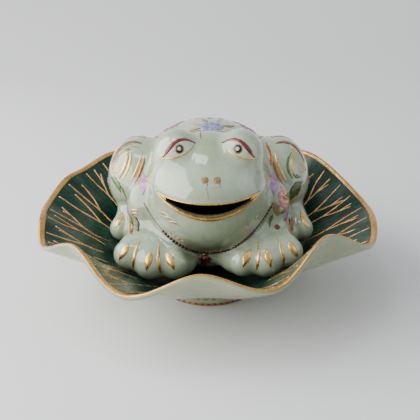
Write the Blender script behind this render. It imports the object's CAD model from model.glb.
"""Celadon porcelain frog in a lotus-leaf dish. Lengths are millimetres until a mesh is made, then metres."""

import math

import bpy
import numpy as np
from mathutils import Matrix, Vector


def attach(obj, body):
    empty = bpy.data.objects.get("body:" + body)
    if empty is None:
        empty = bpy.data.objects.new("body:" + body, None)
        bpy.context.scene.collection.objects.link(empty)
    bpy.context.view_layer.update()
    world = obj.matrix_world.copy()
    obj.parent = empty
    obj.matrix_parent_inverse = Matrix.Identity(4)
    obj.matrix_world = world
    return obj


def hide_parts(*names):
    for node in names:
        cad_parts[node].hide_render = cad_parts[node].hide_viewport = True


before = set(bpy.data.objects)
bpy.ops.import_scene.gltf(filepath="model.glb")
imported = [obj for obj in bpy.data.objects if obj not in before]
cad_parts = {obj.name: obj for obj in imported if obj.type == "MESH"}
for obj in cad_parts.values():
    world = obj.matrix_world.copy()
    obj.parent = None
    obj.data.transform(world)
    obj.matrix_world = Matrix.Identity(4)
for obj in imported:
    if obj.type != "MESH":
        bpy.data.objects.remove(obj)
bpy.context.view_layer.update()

MM = 0.001
VOXEL = 1.1

# ---------------------------------------------------------------- distance fields


def ellipsoid(p, centre, radii, lean=0.0):
    """Signed distance, near enough, to an ellipsoid leaning about Y by an angle in degrees."""
    q = p - np.array(centre, float)
    if lean:
        c, s = math.cos(math.radians(lean)), math.sin(math.radians(lean))
        x = q[..., 0] * c - q[..., 2] * s
        z = q[..., 0] * s + q[..., 2] * c
        q = np.stack([x, q[..., 1], z], -1)
    r = np.array(radii, float)
    k0 = np.sqrt(((q / r) ** 2).sum(-1))
    k1 = np.sqrt(((q / r**2) ** 2).sum(-1)) + 1e-9
    return k0 * (k0 - 1) / k1


def capsule(p, a, b, ra, rb):
    """Signed distance to a round-ended cone from a to b."""
    a, b = np.array(a, float), np.array(b, float)
    d = b - a
    t = np.clip(((p - a) @ d) / (d @ d), 0, 1)
    return np.sqrt(((p - a - t[..., None] * d) ** 2).sum(-1)) - (ra + (rb - ra) * t)


def smooth_min(a, b, k):
    h = np.clip(0.5 + 0.5 * (b - a) / k, 0, 1)
    return b * (1 - h) + a * h - k * h * (1 - h)


def smooth_max(a, b, k):
    return -smooth_min(-a, -b, k)


def side(centre, sign):
    return (centre[0] * sign, centre[1], centre[2])


# ---------------------------------------------------------------- the frog's shape

FLOOR_TOP = 16.0
BASE_Z = FLOOR_TOP + 0.3
WALL = 4.5
HEAD = ((0, 2, 80.5), (47.0, 45.5, 44.5))
BROW = ((24, -2.5, 110.5), (17.5, 20.5, 20.0))
TORSO = ((0, 42, 73), (56.5, 49.5, 46.5))
CHEST = ((0, 2, 46), (44, 28, 28.5))
BELLY = ((0, -13, 39), (27, 15, 14))
CHIN = ((0, -6, 66), (42, 36, 28))
NECK = ((0, 6, 58), (51, 38, 30))
MUZZLE = ((0, -18, 91), (36, 27, 17))
SOCKET = ((10, -19, 126.5), (4.5, 4.5, 4.0))
RING = ((0, 14), (26, 18), 46.0)
MOUTH_HALF = 37.0
MOUTH_CORNER_Z = 91.0
MOUTH_UPPER_Z = 89.2
MOUTH_LOWER_Z = 79.4
ARM = ((49.5, 0, 59), (12.5, 14.5, 28))
FORE_PALM = ((43, -23, 40.5), (25.5, 21, 14.5))
FORE_TOES = [  # from the wrist to the tip, and the radius at each
    ((33, -17, 46), (26, -38, 37.8), 8, 11.8),
    ((43, -15, 47), (43, -39, 38.2), 8, 12.2),
    ((52, -12, 47), (59.5, -30, 41.5), 8, 11.8),
    ((25, -12, 42), (18, -31, 34.5), 8.5, 8.5),
]
HAUNCH = ((57, 45, 75), (22.5, 33.5, 29.5), 10)
HIND_PALM = ((62, 24, 49), (12.5, 17.5, 11.5))
HIND_TOES = [
    ((60, 18, 50), (58, 1, 42.5), 8, 9),
    ((65, 20, 51), (69.5, 7, 45), 8, 9.5),
]
FORE_SHIFT = {1: (0, 1.3, 1.0), -1: (0, -1.3, 0.0)}  # hand-made unevenness, right and left
HIND_SHIFT = (2.4, 0, 0)


def mouth_arc(x, middle):
    """Height of a lip's arc at x, from the corners to its middle."""
    return middle + (MOUTH_CORNER_Z - middle) * (x / MOUTH_HALF) ** 2


def mouth_field(p):
    x, y, z = p[..., 0], p[..., 1], p[..., 2]
    upper = z - mouth_arc(x, MOUTH_UPPER_Z)
    lower = mouth_arc(x, MOUTH_LOWER_Z) - z
    slit = smooth_max(upper, lower, 0.6)
    return np.maximum(slit, y + 12)


def body_field(p):
    """Head, brows, chest, belly, back and standing ring, before the mouth and the hollow."""
    d = ellipsoid(p, *HEAD)
    for s in (1, -1):
        d = smooth_min(d, ellipsoid(p, side(BROW[0], s), BROW[1]), 6)
    d = smooth_min(d, ellipsoid(p, *MUZZLE), 12)
    d = smooth_min(d, ellipsoid(p, *CHIN), 10)
    for s in (1, -1):  # eye sockets, deepest at the inner corners
        d = smooth_max(d, -ellipsoid(p, side(SOCKET[0], s), SOCKET[1]), 4)
    d = smooth_min(d, ellipsoid(p, *TORSO), 9)
    chest = smooth_min(ellipsoid(p, *CHEST), ellipsoid(p, *BELLY), 8)
    x, y = p[..., 0] - RING[0][0], p[..., 1] - RING[0][1]
    ring = (np.sqrt((x / RING[1][0]) ** 2 + (y / RING[1][1]) ** 2) - 1) * min(RING[1])
    ring = np.maximum(ring, p[..., 2] - RING[2])
    chest = smooth_min(chest, ring, 6)
    d = smooth_min(d, smooth_min(chest, ellipsoid(p, *NECK), 6), 3.5)
    return smooth_max(d, BASE_Z - p[..., 2], 0.8)


def arm_field(p, s):
    return ellipsoid(p, side(ARM[0], s), ARM[1], 6 * s)


def fore_field(p, s):
    q = p - np.array(FORE_SHIFT[s], float)
    d = ellipsoid(q, side(FORE_PALM[0], s), FORE_PALM[1])
    for a, b, ra, rb in FORE_TOES:
        d = smooth_min(d, capsule(q, side(a, s), side(b, s), ra, rb), 5.5)
    return d


def haunch_field(p, s):
    return ellipsoid(p, side(HAUNCH[0], s), HAUNCH[1], -HAUNCH[2] * s)


def hind_field(p, s):
    q = p - np.array(HIND_SHIFT, float)
    d = ellipsoid(q, side(HIND_PALM[0], s), HIND_PALM[1])
    for a, b, ra, rb in HIND_TOES:
        d = smooth_min(d, capsule(q, side(a, s), side(b, s), ra, rb), 3.5)
    return d


LIMBS = [
    ("haunch_left", lambda p: haunch_field(p, -1), 9),
    ("haunch_right", lambda p: haunch_field(p, 1), 9),
    ("foreleg_left", lambda p: arm_field(p, -1), 10),
    ("foreleg_right", lambda p: arm_field(p, 1), 10),
    ("forefoot_left", lambda p: fore_field(p, -1), 10),
    ("forefoot_right", lambda p: fore_field(p, 1), 10),
    ("hind_foot_left", lambda p: hind_field(p, -1), 6),
    ("hind_foot_right", lambda p: hind_field(p, 1), 6),
]


def skin_field(p):
    """The frog's outside, without the mouth or the hollow."""
    d = body_field(p)
    for _, field, k in LIMBS:
        d = smooth_min(d, field(p), k)
    return d


def hollow_field(p):
    x, y = p[..., 0] - RING[0][0], p[..., 1] - RING[0][1]
    rx, ry = RING[1][0] - WALL, RING[1][1] - WALL
    neck = (np.sqrt((x / rx) ** 2 + (y / ry) ** 2) - 1) * min(rx, ry)
    neck = np.maximum(neck, p[..., 2] - RING[2])
    return smooth_min(body_field(p) + WALL, neck, 3)


def frog_field(p):
    d = smooth_max(skin_field(p), -hollow_field(p), 1.0)
    return smooth_max(d, -mouth_field(p), 1.6)


def gradient(field, p, step=0.15):
    g = np.empty_like(p)
    for axis in range(3):
        offset = np.zeros(3)
        offset[axis] = step
        g[..., axis] = (field(p + offset) - field(p - offset)) / (2 * step)
    return g


def settle(field, p, level=0.0, rounds=5, limit=1.0):
    """Moves points onto field = level along its gradient."""
    p = np.array(p, float)
    for _ in range(rounds):
        g = gradient(field, p)
        move = ((field(p) - level) / np.maximum((g**2).sum(-1), 0.05))[..., None] * g
        length = np.sqrt((move**2).sum(-1, keepdims=True))
        p -= move * np.minimum(1, limit / np.maximum(length, 1e-9))
    return p


def normals_of(field, p):
    g = gradient(field, p)
    return g / np.maximum(np.sqrt((g**2).sum(-1, keepdims=True)), 1e-9)


# ---------------------------------------------------------------- meshing a field


def field_grid(field, low, high, step):
    axes = [np.arange(a, b + step, step) for a, b in zip(low, high)]
    values = np.empty([len(a) for a in axes])
    for i, x in enumerate(axes[0]):  # one slab at a time keeps the memory small
        y, z = np.meshgrid(axes[1], axes[2], indexing="ij")
        values[i] = field(np.stack([np.full_like(y, x), y, z], -1))
    return values


def surface_net(values, low, step):
    """Vertices and quads of the zero level, one vertex in each cell that it crosses."""
    n = np.array(values.shape) - 1
    inside = values < 0
    total = np.zeros((*n, 3))
    count = np.zeros(n)
    for axis in range(3):
        others = [a for a in range(3) if a != axis]
        for corner in range(4):
            offset = [0, 0, 0]
            offset[others[0]] = corner & 1
            offset[others[1]] = corner >> 1
            a = tuple(slice(o, o + m) for o, m in zip(offset, n))
            offset[axis] = 1
            b = tuple(slice(o, o + m) for o, m in zip(offset, n))
            offset[axis] = 0
            crosses = inside[a] != inside[b]
            va, vb = values[a][crosses], values[b][crosses]
            where = np.tile(np.array(offset, float), (len(va), 1))
            where[:, axis] = va / (va - vb)
            total[crosses] += where
            count[crosses] += 1
    active = count > 0
    index = np.full(n, -1)
    index[active] = np.arange(active.sum())
    cells = np.argwhere(active)
    points = (cells + total[active] / count[active][:, None]) * step + np.array(low, float)
    quads = []
    for axis in range(3):
        u, v = (axis + 1) % 3, (axis + 2) % 3
        a = [slice(1, m) for m in n]
        a[axis] = slice(0, n[axis])
        b = list(a)
        b[axis] = slice(1, n[axis] + 1)
        va, vb = inside[tuple(a)], inside[tuple(b)]
        start = np.array([1, 1, 1])
        start[axis] = 0
        for flip, hits in ((False, va & ~vb), (True, ~va & vb)):
            base = np.argwhere(hits) + start
            ring = []
            for du, dv in ((-1, -1), (0, -1), (0, 0), (-1, 0)):
                cell = base.copy()
                cell[:, u] += du
                cell[:, v] += dv
                ring.append(index[cell[:, 0], cell[:, 1], cell[:, 2]])
            quad = np.stack(ring, -1)
            quads.append(quad[:, ::-1] if flip else quad)
    return points, np.concatenate(quads)


# ---------------------------------------------------------------- mesh objects


def make_object(name, points, faces, materials=(), normals=None, colours=None, face_material=None):
    """A mesh object from points in millimetres.

    colours maps an attribute name to numbers, vectors or RGBA per point.
    """
    mesh = bpy.data.meshes.new(name)
    mesh.from_pydata((np.asarray(points, float) * MM).tolist(), [], [list(map(int, f)) for f in faces])
    for m in materials:
        mesh.materials.append(m)
    mesh.polygons.foreach_set("use_smooth", [True] * len(mesh.polygons))
    if face_material is not None:
        mesh.polygons.foreach_set("material_index", list(map(int, face_material)))
    for key, values in (colours or {}).items():
        values = np.asarray(values, np.float32)
        if values.ndim == 1:
            attribute = mesh.attributes.new(key, "FLOAT", "POINT")
            attribute.data.foreach_set("value", values)
        elif values.shape[1] == 3:
            attribute = mesh.attributes.new(key, "FLOAT_VECTOR", "POINT")
            attribute.data.foreach_set("vector", values.ravel())
        else:
            attribute = mesh.color_attributes.new(key, "FLOAT_COLOR", "POINT")
            attribute.data.foreach_set("color", values.ravel())
    mesh.update()
    if normals is not None:
        mesh.normals_split_custom_set_from_vertices(np.asarray(normals, float).tolist())
    obj = bpy.data.objects.new(name, mesh)
    bpy.context.scene.collection.objects.link(obj)
    return obj


def boundary_loops(faces):
    """Closed loops of the directed edges that only one face uses."""
    edges = set()
    for face in faces:
        for a, b in zip(face, np.roll(face, -1)):
            edges.add((int(a), int(b)))
    follow = {}
    for a, b in edges:
        if (b, a) not in edges:
            follow.setdefault(a, []).append(b)
    loops = []
    while follow:
        start = min(follow)
        loop, at = [], start
        while at in follow:
            loop.append(at)
            onward = follow[at].pop(0)
            if not follow[at]:
                del follow[at]
            at = onward
            if at == start:
                break
        if len(loop) > 2:
            loops.append(loop)
    return loops


def close_piece(points, faces, level):
    """Caps a part of the skin where it joins its neighbours, inside the body.

    Returns the points and faces of a closed mesh.
    """
    used, inverse = np.unique(np.concatenate([np.ravel(f) for f in faces]), return_inverse=True)
    quads = inverse.reshape(-1, 4)
    out = [points[used]]
    shapes = [list(q) for q in quads]
    count = len(used)
    for loop in boundary_loops(quads):
        rim = points[used][loop]
        centre = rim.mean(0)
        previous = list(loop)
        for share in (0.35, 0.7, 1.0):
            ring = rim * (1 - share) + centre * share if share < 1 else centre[None]
            deep = body_field(ring) < level
            if deep.any():
                ring = ring.copy()
                ring[deep] = settle(body_field, ring[deep], level, rounds=6, limit=4)
            out.append(ring)
            if share < 1:
                current = list(range(count, count + len(ring)))
                for i in range(len(loop)):
                    j = (i + 1) % len(loop)
                    shapes.append([previous[j], previous[i], current[i], current[j]])
                previous = current
            else:
                for i in range(len(loop)):
                    j = (i + 1) % len(loop)
                    shapes.append([previous[j], previous[i], count])
            count += len(ring)
    return np.concatenate(out), shapes, len(used), used


def label_faces(points, quads):
    """Which modelled part each face of the skin belongs to: 0 is the body."""
    centres = points[quads].mean(1)
    fields = [body_field(centres)] + [field(centres) for _, field, _ in LIMBS]
    labels = np.argmin(np.stack(fields), 0)
    labels[hollow_field(centres) < 0.6 * WALL] = 0
    edges = {}
    neighbours = [[] for _ in quads]
    for f, face in enumerate(quads.tolist()):
        for a, b in zip(face, face[1:] + face[:1]):
            key = (a, b) if a < b else (b, a)
            other = edges.pop(key, None)
            if other is None:
                edges[key] = f
            else:
                neighbours[f].append(other)
                neighbours[other].append(f)
    for _ in range(6):  # smooths the ragged borders between parts
        changed = labels.copy()
        for f, near in enumerate(neighbours):
            around = [labels[g] for g in near]
            best = max(set(around), key=around.count)
            if around.count(best) >= 3:
                changed[f] = best
        labels = changed
    for label in range(1, len(LIMBS) + 1):  # stray islands go back to the body
        todo = set(np.flatnonzero(labels == label).tolist())
        islands = []
        while todo:
            stack, island = [todo.pop()], []
            while stack:
                f = stack.pop()
                island.append(f)
                for g in neighbours[f]:
                    if g in todo:
                        todo.remove(g)
                        stack.append(g)
            islands.append(island)
        islands.sort(key=len)
        for island in islands[:-1]:
            labels[island] = 0
    return labels


# ---------------------------------------------------------------- the leaf's shape

DISH_X = -1.0
FLOOR_RADIUS = 36.0
LEAF_WALL = 5.0
RIM_WALL = 4.2
RIM_RADIUS = 128.0
RIM_LOW = 55.0
RIM_CURL = 0.35
RIM_MEAN = 61.0
BOWL_POWER = 1.35
WAVE_POWER = 2.4
RIM_WAVES = [
    (0, 55.5), (13, 54.0), (30, 61.5), (50, 73.0), (70, 58.0), (90, 71.0), (110, 58.0), (130, 71.5),
    (144, 66.0), (156, 66.5), (168, 58.5), (184, 60.0), (199, 53.5), (219, 70.5), (243, 51.5),
    (268, 70.5), (292, 58.0), (314, 81.0), (337, 57.0), (350, 54.0),
]


def periodic_spline(knots, values, period):
    """A function through the points, smooth to the second derivative, that repeats."""
    x, y = np.array(knots, float), np.array(values, float)
    n = len(x)
    h = np.append(x[1:], x[0] + period) - x
    matrix, right = np.zeros((n, n)), np.zeros(n)
    for i in range(n):
        before, after = (i - 1) % n, (i + 1) % n
        matrix[i, before] += h[before]
        matrix[i, i] += 2 * (h[before] + h[i])
        matrix[i, after] += h[i]
        right[i] = 6 * ((y[after] - y[i]) / h[i] - (y[i] - y[before]) / h[before])
    bend = np.linalg.solve(matrix, right)

    def value(at):
        at = np.mod(at - x[0], period) + x[0]
        i = np.clip(np.searchsorted(x, at, side="right") - 1, 0, n - 1)
        j = (i + 1) % n
        t = at - x[i]
        u = h[i] - t
        return (
            (bend[i] * u**3 + bend[j] * t**3) / (6 * h[i])
            + (y[i] / h[i] - bend[i] * h[i] / 6) * u
            + (y[j] / h[i] - bend[j] * h[i] / 6) * t
        )

    return value


rim_height = periodic_spline([a for a, _ in RIM_WAVES], [z for _, z in RIM_WAVES], 360)


def leaf_middle(azimuth, station):
    """The leaf's middle surface at azimuths in degrees and stations from 0 at the floor to 1 at the rim."""
    height = rim_height(azimuth)
    reach = RIM_RADIUS - RIM_CURL * (height - RIM_LOW)
    radius = FLOOR_RADIUS + (reach - FLOOR_RADIUS) * station
    middle = FLOOR_TOP - LEAF_WALL / 2
    s = np.clip(station, 0, None)
    z = middle + (RIM_MEAN - middle) * s**BOWL_POWER + (height - RIM_MEAN) * s**WAVE_POWER
    z = np.where(station < 0, middle, z)
    angle = np.radians(azimuth)
    return np.stack([DISH_X + radius * np.cos(angle), radius * np.sin(angle), z], -1)


def radial_normal(azimuth, station):
    """The leaf's upward normal within the radial plane, as two numbers: out and up."""
    e = 0.01
    before = leaf_middle(azimuth, np.maximum(station - e, 0))
    after = leaf_middle(azimuth, station + e)
    step = after - before
    out = np.hypot(after[..., 0] - DISH_X, after[..., 1]) - np.hypot(before[..., 0] - DISH_X, before[..., 1])
    length = np.hypot(out, step[..., 2])
    return -step[..., 2] / length, out / length


def leaf_top(azimuth, station, lift=0.0):
    """Points on the painted side of the leaf, raised by lift along its radial normal."""
    half = (LEAF_WALL + (RIM_WALL - LEAF_WALL) * np.clip(station, 0, 1)) / 2 + lift
    out, up = radial_normal(azimuth, station)
    angle = np.radians(azimuth)
    shift = np.stack([out * half * np.cos(angle), out * half * np.sin(angle), up * half], -1)
    return leaf_middle(azimuth, station) + shift


def leaf_facing(azimuth, station):
    """Unit normals of the painted side of the leaf."""
    across = leaf_top(azimuth + 0.25, station) - leaf_top(azimuth - 0.25, station)
    along = leaf_top(azimuth, station + 0.004) - leaf_top(azimuth, station - 0.004)
    n = np.cross(along, across)
    return n / np.sqrt((n**2).sum(-1, keepdims=True))


# ---------------------------------------------------------------- raised paint


def ring_mesh(rings, closed_path=False):
    """Faces of a tube through equal rings of points, with its ends closed."""
    m, k = len(rings), len(rings[0])
    points = np.concatenate(rings)
    faces = []
    for i in range(m if closed_path else m - 1):
        a, b = i * k, ((i + 1) % m) * k
        for j in range(k):
            n = (j + 1) % k
            faces.append([a + j, a + n, b + n, b + j])
    if not closed_path:
        faces.append(list(range(k))[::-1])
        faces.append(list(range((m - 1) * k, m * k)))
    return points, faces


ACROSS = np.array([-1.0, -0.72, 0.0, 0.72, 1.0, 0.5, -0.5])
CROWN = np.array([-0.25, 0.72, 1.0, 0.72, -0.25, -1.0, -1.0])


def ribbon(path, normals, half_width, height, sink=0.3, field=None, closed_path=False):
    """A low crowned line of paint or gold along a path on a surface, closed underneath."""
    path = np.asarray(path, float)
    half_width = np.broadcast_to(np.asarray(half_width, float), len(path))
    if closed_path:
        tangent = np.roll(path, -1, 0) - np.roll(path, 1, 0)
    else:
        tangent = np.gradient(path, axis=0)
    across = np.cross(normals, tangent)
    across /= np.maximum(np.sqrt((across**2).sum(-1, keepdims=True)), 1e-9)
    rings = []
    for c, e in zip(ACROSS, CROWN):
        base = path + across * (half_width * c)[:, None]
        if field is not None:
            base = base - normals * field(base)[:, None]
        rings.append(base + normals * (height * e if e > 0 else sink * e))
    stacked = np.stack(rings, 1)
    return ring_mesh(list(stacked), closed_path)


def smooth_path(controls, spacing):
    """A Catmull-Rom curve through control points, sampled about every spacing."""
    c = np.asarray(controls, float)
    if len(c) == 2:
        n = max(3, int(np.linalg.norm(c[1] - c[0]) / spacing))
        return c[0] + (c[1] - c[0]) * np.linspace(0, 1, n)[:, None]
    c = np.concatenate([[2 * c[0] - c[1]], c, [2 * c[-1] - c[-2]]])
    out = []
    for i in range(1, len(c) - 2):
        n = max(2, int(math.ceil(np.linalg.norm(c[i + 1] - c[i]) / spacing)))
        t = np.arange(n)[:, None] / n
        a, b, d, e = c[i - 1], c[i], c[i + 1], c[i + 2]
        square, cube = 2 * a - 5 * b + 4 * d - e, 3 * b - a - 3 * d + e
        out.append(0.5 * (2 * b + (d - a) * t + square * t**2 + cube * t**3))
    out.append(c[-2][None])
    return np.concatenate(out)


PAINT_CENTRE = np.array([0, 0, 55.0])


def view_axes(azimuth, pitch):
    """Right, up and forward for a look along +Y, turned by azimuth and down by pitch, in degrees."""
    a, e = math.radians(azimuth), math.radians(pitch)
    right = np.array([math.cos(a), math.sin(a), 0])
    ahead = np.array([-math.sin(a) * math.cos(e), math.cos(a) * math.cos(e), -math.sin(e)])
    return right, np.cross(right, ahead), ahead


def cast(marks, azimuth=0.0, pitch=25.4, field=skin_field):
    """Points on the frog straight behind marks (across, up) in a view of its middle."""
    right, up, ahead = view_axes(azimuth, pitch)
    q = np.asarray(marks, float)
    p = PAINT_CENTRE + q[:, :1] * right + q[:, 1:2] * up - 170 * ahead
    gone = np.zeros(len(p))
    closest, best = p.copy(), np.full(len(p), 1e9)
    for _ in range(60):
        d = field(p)
        nearer = np.abs(d) < best
        closest[nearer] = p[nearer]
        best = np.minimum(best, np.abs(d))
        going = (gone < 300) & (best > 0.03)
        if not going.any():
            break
        step = np.where(going, d * 0.95, 0)
        p = p + step[:, None] * ahead
        gone += step
    return settle(field, closest, rounds=1 if best.max() < 0.1 else 4, limit=4)


class Paint:
    """Gathers strokes and patches of one colour, on one body, into one piece."""

    def __init__(self):
        self.points, self.faces, self.count = [], [], 0

    def add(self, points, faces):
        self.points.append(points)
        self.faces += [[i + self.count for i in f] for f in faces]
        self.count += len(points)

    def piece(self, name, material, body, slot):
        obj = make_object(name, np.concatenate(self.points), self.faces, [material])
        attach(obj, body)
        return obj


# ---------------------------------------------------------------- materials


class Graph:
    """Short ways to build a node material in object space, where one unit is a metre."""

    def __init__(self, name):
        self.material = bpy.data.materials.new(name)
        self.material.use_nodes = True
        self.tree = self.material.node_tree
        self.shader = self.tree.nodes["Principled BSDF"]
        self.coordinates = self.node("ShaderNodeTexCoord").outputs["Object"]

    def node(self, kind, **settings):
        made = self.tree.nodes.new(kind)
        for key, value in settings.items():
            setattr(made, key, value)
        return made

    def plug(self, value, socket):
        if isinstance(value, bpy.types.NodeSocket):
            self.tree.links.new(value, socket)
        else:
            socket.default_value = (*value, 1) if isinstance(value, tuple) and len(value) == 3 else value

    def noise(self, scale, detail=4.0, roughness=0.55, vector=None, distortion=0.0):
        n = self.node("ShaderNodeTexNoise")
        self.plug(self.coordinates if vector is None else vector, n.inputs["Vector"])
        n.inputs["Scale"].default_value = scale
        n.inputs["Detail"].default_value = detail
        n.inputs["Roughness"].default_value = roughness
        n.inputs["Distortion"].default_value = distortion
        return n.outputs["Fac"]

    def crackle(self, scale, width):
        """1 on the fine lines between crazed cells, 0 elsewhere."""
        wobble = self.node("ShaderNodeVectorMath", operation="MULTIPLY_ADD")
        n = self.node("ShaderNodeTexNoise")
        self.plug(self.coordinates, n.inputs["Vector"])
        n.inputs["Scale"].default_value = scale * 0.6
        self.plug(n.outputs["Color"], wobble.inputs[0])
        wobble.inputs[1].default_value = (0.006, 0.006, 0.006)
        self.plug(self.coordinates, wobble.inputs[2])
        v = self.node("ShaderNodeTexVoronoi", feature="DISTANCE_TO_EDGE")
        self.plug(wobble.outputs[0], v.inputs["Vector"])
        v.inputs["Scale"].default_value = scale
        return self.ramp(v.outputs["Distance"], [(0.0, 1.0), (width, 0.0)])

    def attribute(self, name):
        return self.node("ShaderNodeAttribute", attribute_name=name).outputs

    def ramp(self, value, stops):
        """Colour or grey ramp; a stop is (position, grey or RGB)."""
        r = self.node("ShaderNodeValToRGB")
        elements = r.color_ramp.elements
        while len(elements) < len(stops):
            elements.new(0.5)
        for element, (position, colour) in zip(elements, stops):
            element.position = position
            element.color = (colour,) * 3 + (1,) if isinstance(colour, float) else (*colour, 1)
        self.plug(value, r.inputs["Fac"])
        return r.outputs["Color"]

    def mix(self, share, a, b, how="MIX"):
        m = self.node("ShaderNodeMix", data_type="RGBA", blend_type=how)
        self.plug(share, m.inputs["Factor"])
        self.plug(a, m.inputs["A"])
        self.plug(b, m.inputs["B"])
        return m.outputs["Result"]

    def math(self, how, a, b):
        m = self.node("ShaderNodeMath", operation=how, use_clamp=how != "ADD")
        self.plug(a, m.inputs[0])
        self.plug(b, m.inputs[1])
        return m.outputs[0]

    def bump(self, height, distance, strength=1.0, after=None):
        b = self.node("ShaderNodeBump")
        b.inputs["Distance"].default_value = distance
        b.inputs["Strength"].default_value = strength
        self.plug(height, b.inputs["Height"])
        if after is not None:
            self.plug(after, b.inputs["Normal"])
        return b.outputs["Normal"]

    def finish(self, colour, roughness, normal=None, **fixed):
        self.plug(colour, self.shader.inputs["Base Color"])
        self.plug(roughness, self.shader.inputs["Roughness"])
        if normal is not None:
            self.plug(normal, self.shader.inputs["Normal"])
        for key, value in fixed.items():
            self.shader.inputs[key.replace("_", " ")].default_value = value
        return self.material


CELADON = (0.345, 0.425, 0.300)
CELADON_PALE = (0.475, 0.55, 0.410)
DISH_BODY = (0.235, 0.265, 0.145)
DISH_PALE = (0.345, 0.37, 0.22)
CELADON_POOL = (0.12, 0.165, 0.085)
OLIVE_WASH = (0.26, 0.32, 0.17)


def celadon_material(name, body, pale, coat, with_washes=True):
    """Pale grey-green glaze: mottled, faintly crazed, deeper green where it pools in the modelling."""
    g = Graph(name)
    mottle = g.noise(26, 5, 0.6)
    colour = g.mix(g.ramp(mottle, [(0.35, 0.0), (0.66, 1.0)]), body, pale)
    clouds = g.ramp(g.noise(75, 3, 0.6, distortion=0.6), [(0.50, 0.0), (0.72, 1.0)])
    colour = g.mix(g.math("MULTIPLY", clouds, 0.42), colour, (0.29, 0.35, 0.21))
    fine = g.ramp(g.noise(230, 4, 0.65, distortion=0.4), [(0.46, 0.0), (0.70, 1.0)])
    colour = g.mix(g.math("MULTIPLY", fine, 0.30), colour, (0.27, 0.33, 0.21))
    specks = g.ramp(g.noise(900, 2, 0.5), [(0.71, 0.0), (0.78, 1.0)])
    colour = g.mix(g.math("MULTIPLY", specks, 0.35), colour, (0.24, 0.22, 0.14))
    crazing = g.crackle(95, 0.022)
    colour = g.mix(g.math("MULTIPLY", crazing, 0.16), colour, (0.22, 0.24, 0.17))
    if with_washes:
        pool = g.attribute("pool")["Fac"]
        colour = g.mix(pool, colour, CELADON_POOL)
        stain = g.ramp(g.noise(150, 4, 0.7), [(0.42, 0.0), (0.62, 1.0)])
        colour = g.mix(g.math("MULTIPLY", g.math("MULTIPLY", pool, stain), 0.8), colour, (0.13, 0.105, 0.05))
        wash = g.attribute("wash")
        colour = g.mix(wash["Alpha"], colour, wash["Color"])
    swell = g.bump(g.noise(30, 2, 0.4), 0.0010, 0.22)
    pits = g.bump(g.noise(420, 2, 0.5), 0.00006, 0.5, after=swell)
    roughness = g.ramp(g.noise(60, 3), [(0.3, 0.05), (0.7, 0.10)])
    return g.finish(colour, roughness, pits, Coat_Weight=coat, Coat_Roughness=0.03, IOR=1.5)


def leaf_green_material():
    """Dark green enamel brushed outwards along the leaf, with lighter streaks and worn patches."""
    g = Graph("leaf_green_enamel")
    along = g.attribute("leaf_way")["Vector"]
    streaks = g.noise(2.2, 5, 0.65, vector=along)
    dark, mid, light = (0.0015, 0.016, 0.009), (0.004, 0.036, 0.021), (0.014, 0.075, 0.045)
    colour = g.ramp(streaks, [(0.30, dark), (0.5, mid), (0.72, light)])
    patches = g.ramp(g.noise(30, 4, 0.6), [(0.42, 0.0), (0.66, 1.0)])
    colour = g.mix(g.math("MULTIPLY", patches, 0.6), colour, (0.003, 0.018, 0.011))
    colour = g.mix(g.math("MULTIPLY", g.crackle(80, 0.02), 0.25), colour, (0.07, 0.13, 0.10))
    normal = g.bump(streaks, 0.0006, 0.5)
    normal = g.bump(g.noise(45, 2, 0.4), 0.0015, 0.4, after=normal)
    roughness = g.ramp(g.noise(50, 3), [(0.3, 0.16), (0.7, 0.26)])
    return g.finish(colour, roughness, normal, Coat_Weight=0.08, Coat_Roughness=0.06, Specular_IOR_Level=0.3)


def gold_material(name, light, dark, wear=0.5):
    """Fired gilding: metallic, uneven under the brush and rubbed towards brown."""
    g = Graph(name)
    rub = g.ramp(g.noise(210, 5, 0.7), [(0.36, 0.0), (0.66, 1.0)])
    colour = g.mix(g.math("MULTIPLY", rub, wear), light, dark)
    normal = g.bump(g.noise(650, 3, 0.6), 0.00012, 0.6)
    roughness = g.ramp(g.noise(320, 4, 0.6), [(0.3, 0.16), (0.7, 0.36)])
    return g.finish(colour, roughness, normal, Metallic=0.78, IOR=1.5)


def enamel_material(name, deep, pale, scale=260.0, roughness=0.14):
    """Overglaze enamel: thick and thin where the brush ran, and glossy."""
    g = Graph(name)
    body = g.ramp(g.noise(scale, 4, 0.6), [(0.34, 0.0), (0.68, 1.0)])
    colour = g.mix(body, deep, pale)
    normal = g.bump(g.noise(scale * 2.2, 3, 0.5), 0.00010, 0.6)
    spread = g.ramp(g.noise(scale, 2), [(0.3, roughness), (0.7, roughness + 0.14)])
    return g.finish(colour, spread, normal, Coat_Weight=0.3, Coat_Roughness=0.06, IOR=1.5)


GLAZE = celadon_material("celadon_glaze", CELADON, CELADON_PALE, 1.0)
DISH_GLAZE = celadon_material("celadon_dish_glaze", DISH_BODY, DISH_PALE, 0.3, with_washes=False)
LEAF_GREEN = leaf_green_material()
CAVITY = enamel_material("dark_cavity", (0.0012, 0.0012, 0.0022), (0.003, 0.003, 0.006), 60, 0.5)
GOLD = gold_material("gilding", (0.98, 0.64, 0.19), (0.48, 0.23, 0.045), 0.6)
BROWN_GOLD = gold_material("brown_gilding", (0.50, 0.24, 0.07), (0.16, 0.06, 0.02), 0.7)
RIM_GOLD = gold_material("rim_gilding", (0.74, 0.40, 0.12), (0.38, 0.18, 0.045), 0.65)
TAN_GOLD = gold_material("vein_gilding", (0.80, 0.45, 0.18), (0.48, 0.23, 0.08), 0.5)
MAROON = enamel_material("maroon_enamel", (0.075, 0.008, 0.007), (0.19, 0.026, 0.020))
IRON_RED = enamel_material("iron_red_enamel", (0.30, 0.060, 0.022), (0.45, 0.14, 0.06))
PALE_GOLD = gold_material("pale_gilding", (0.62, 0.56, 0.36), (0.42, 0.36, 0.20), 0.5)
BROWN = enamel_material("brown_enamel", (0.12, 0.045, 0.020), (0.26, 0.12, 0.065))
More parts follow.
